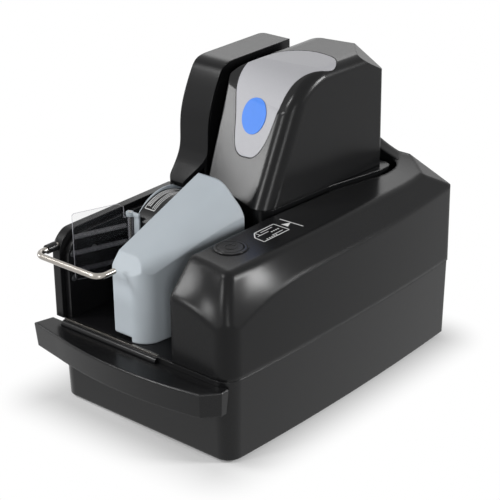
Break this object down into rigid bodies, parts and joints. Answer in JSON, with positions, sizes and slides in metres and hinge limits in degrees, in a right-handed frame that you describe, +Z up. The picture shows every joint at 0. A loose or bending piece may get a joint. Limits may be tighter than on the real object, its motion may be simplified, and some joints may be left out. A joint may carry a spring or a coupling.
{
  "type": "desktop cheque scanner",
  "caption": "Desktop cheque scanner with a U-shaped track round a sensor tower, hinged track door, wire stop, lift-off feeder cover and power button.",
  "frame": {"origin": "centre of the overall box, on the desk under the feet", "axes": "+X towards the hopper side, +Y towards the back, +Z up; the pockets open towards -Y"},
  "size_m": [0.1743, 0.2724, 0.221],
  "materials": {
    "shell_black": "fine satin grain",
    "gloss_black": "polished",
    "cover_grey": "smooth satin",
    "insert_grey": "fine satin grain",
    "badge_blue": "smooth",
    "steel": "nickel plated",
    "dark_steel": "powder coat",
    "roller_rubber": "matt",
    "foot_rubber": "matt",
    "clear_sheet": "clear",
    "sensor_glass": "clear",
    "board_green": "lacquered",
    "port_metal": "bright",
    "pulley_plastic": "moulded",
    "cartridge": "moulded"
  },
  "bodies": {
    "chassis": {"base_tub": "shell_black", "rubber_feet": "foot_rubber", "chassis_plate": "dark_steel", "chassis_screws": "steel", "main_board": "board_green", "dc_jack": "gloss_black", "usb_port": "port_metal", "drive_motor": "dark_steel", "drive_belt": "roller_rubber", "pocket_floor": "gloss_black", "floor_strip": "steel", "front_roll": "gloss_black", "front_ledge": "shell_black", "pocket_wall": "shell_black", "pocket_liner": "gloss_black", "liner_screws": "dark_steel", "stop_sleeve": "gloss_black", "upper_cover": "shell_black", "button_bezel": "shell_black", "button_switch": "gloss_black", "tower_base": "shell_black", "tower_hood": "shell_black", "tower_insert": "insert_grey", "badge_disc": "badge_blue", "front_image_sensor": "gloss_black", "front_sensor_glass": "sensor_glass", "magnetic_head": "steel", "endorser_housing": "gloss_black", "endorser_side_plate": "cover_grey", "print_cartridge": "cartridge", "divider_holder": "cover_grey", "divider_pin": "steel", "hinge_pin": "steel"},
    "motor_rotor": {"motor_shaft": "steel", "motor_pulley": "pulley_plastic"},
    "feeder": {"feed_roller": "roller_rubber", "feed_pulley": "pulley_plastic"},
    "separator": {"separator_roller": "roller_rubber"},
    "right_drive": {"right_drive_roller": "roller_rubber", "right_pulley": "pulley_plastic"},
    "left_drive": {"left_drive_roller": "roller_rubber", "left_pulley": "pulley_plastic"},
    "exit_drive": {"exit_drive_roller": "roller_rubber", "exit_pulley": "pulley_plastic"},
    "right_pinch": {"right_pinch_roller": "pulley_plastic"},
    "left_pinch": {"left_pinch_roller": "pulley_plastic"},
    "exit_pinch": {"exit_pinch_roller": "pulley_plastic"},
    "door": {"track_door": "shell_black", "door_liner": "gloss_black", "rear_image_sensor": "gloss_black", "rear_sensor_glass": "sensor_glass"},
    "stop": {"document_stop": "steel"},
    "divider": {"pocket_divider": "clear_sheet"},
    "gate": {"diverter_gate": "gloss_black"},
    "lid": {"central_cover": "cover_grey"},
    "button": {"power_button": "shell_black"}
  },
  "joints": [
    {"name": "power_press", "type": "slide", "parent": "chassis", "child": "button", "axis": [0, 0, -1], "range_m": [0, 0.0012], "stiffness_N_per_m": 400},
    {"name": "stop_pull", "type": "slide", "parent": "chassis", "child": "stop", "axis": [0, -1, 0], "range_m": [0, 0.04]},
    {"name": "door_swing", "type": "hinge", "parent": "chassis", "child": "door", "pos_m": [-0.07245, 0.1077, 0.135], "axis": [0, 0, -1], "range_deg": [0, 95]},
    {"name": "cover_lift", "type": "slide", "parent": "chassis", "child": "lid", "axis": [0, 0, 1], "range_m": [0, 0.1]},
    {"name": "divider_swing", "type": "hinge", "parent": "chassis", "child": "divider", "pos_m": [-0.04575, -0.0676, 0.11], "axis": [0, 0, 1], "range_deg": [0, 8]},
    {"name": "gate_swing", "type": "hinge", "parent": "chassis", "child": "gate", "pos_m": [-0.04725, 0.0055, 0.08], "axis": [0, 0, 1], "range_deg": [-9, 7]},
    {"name": "motor_spin", "type": "hinge", "parent": "chassis", "child": "motor_rotor", "pos_m": [-0.02175, -0.0405, 0.08], "axis": [0, 0, 1], "continuous": true},
    {"name": "feed_spin", "type": "hinge", "parent": "chassis", "child": "feeder", "pos_m": [0.01375, -0.0345, 0.08], "axis": [0, 0, 1], "continuous": true},
    {"name": "right_drive_spin", "type": "hinge", "parent": "chassis", "child": "right_drive", "pos_m": [0.02175, 0.0395, 0.08], "axis": [0, 0, 1], "continuous": true},
    {"name": "left_drive_spin", "type": "hinge", "parent": "chassis", "child": "left_drive", "pos_m": [-0.03575, 0.0695, 0.08], "axis": [0, 0, 1], "continuous": true},
    {"name": "exit_drive_spin", "type": "hinge", "parent": "chassis", "child": "exit_drive", "pos_m": [-0.03575, 0.0265, 0.08], "axis": [0, 0, 1], "continuous": true},
    {"name": "separator_spin", "type": "hinge", "parent": "chassis", "child": "separator", "pos_m": [0.03625, -0.0345, 0.08], "axis": [0, 0, 1], "continuous": true},
    {"name": "right_pinch_spin", "type": "hinge", "parent": "chassis", "child": "right_pinch", "pos_m": [0.03795, 0.0395, 0.08], "axis": [0, 0, 1], "continuous": true},
    {"name": "left_pinch_spin", "type": "hinge", "parent": "door", "child": "left_pinch", "pos_m": [-0.05155, 0.0695, 0.08], "axis": [0, 0, 1], "continuous": true},
    {"name": "exit_pinch_spin", "type": "hinge", "parent": "door", "child": "exit_pinch", "pos_m": [-0.05155, 0.0265, 0.08], "axis": [0, 0, 1], "continuous": true}
  ],
  "couplings": [
    {"joint": "feed_spin", "follows": "motor_spin", "ratio": 1},
    {"joint": "right_drive_spin", "follows": "motor_spin", "ratio": 1},
    {"joint": "left_drive_spin", "follows": "motor_spin", "ratio": 1},
    {"joint": "exit_drive_spin", "follows": "motor_spin", "ratio": 1}
  ]
}
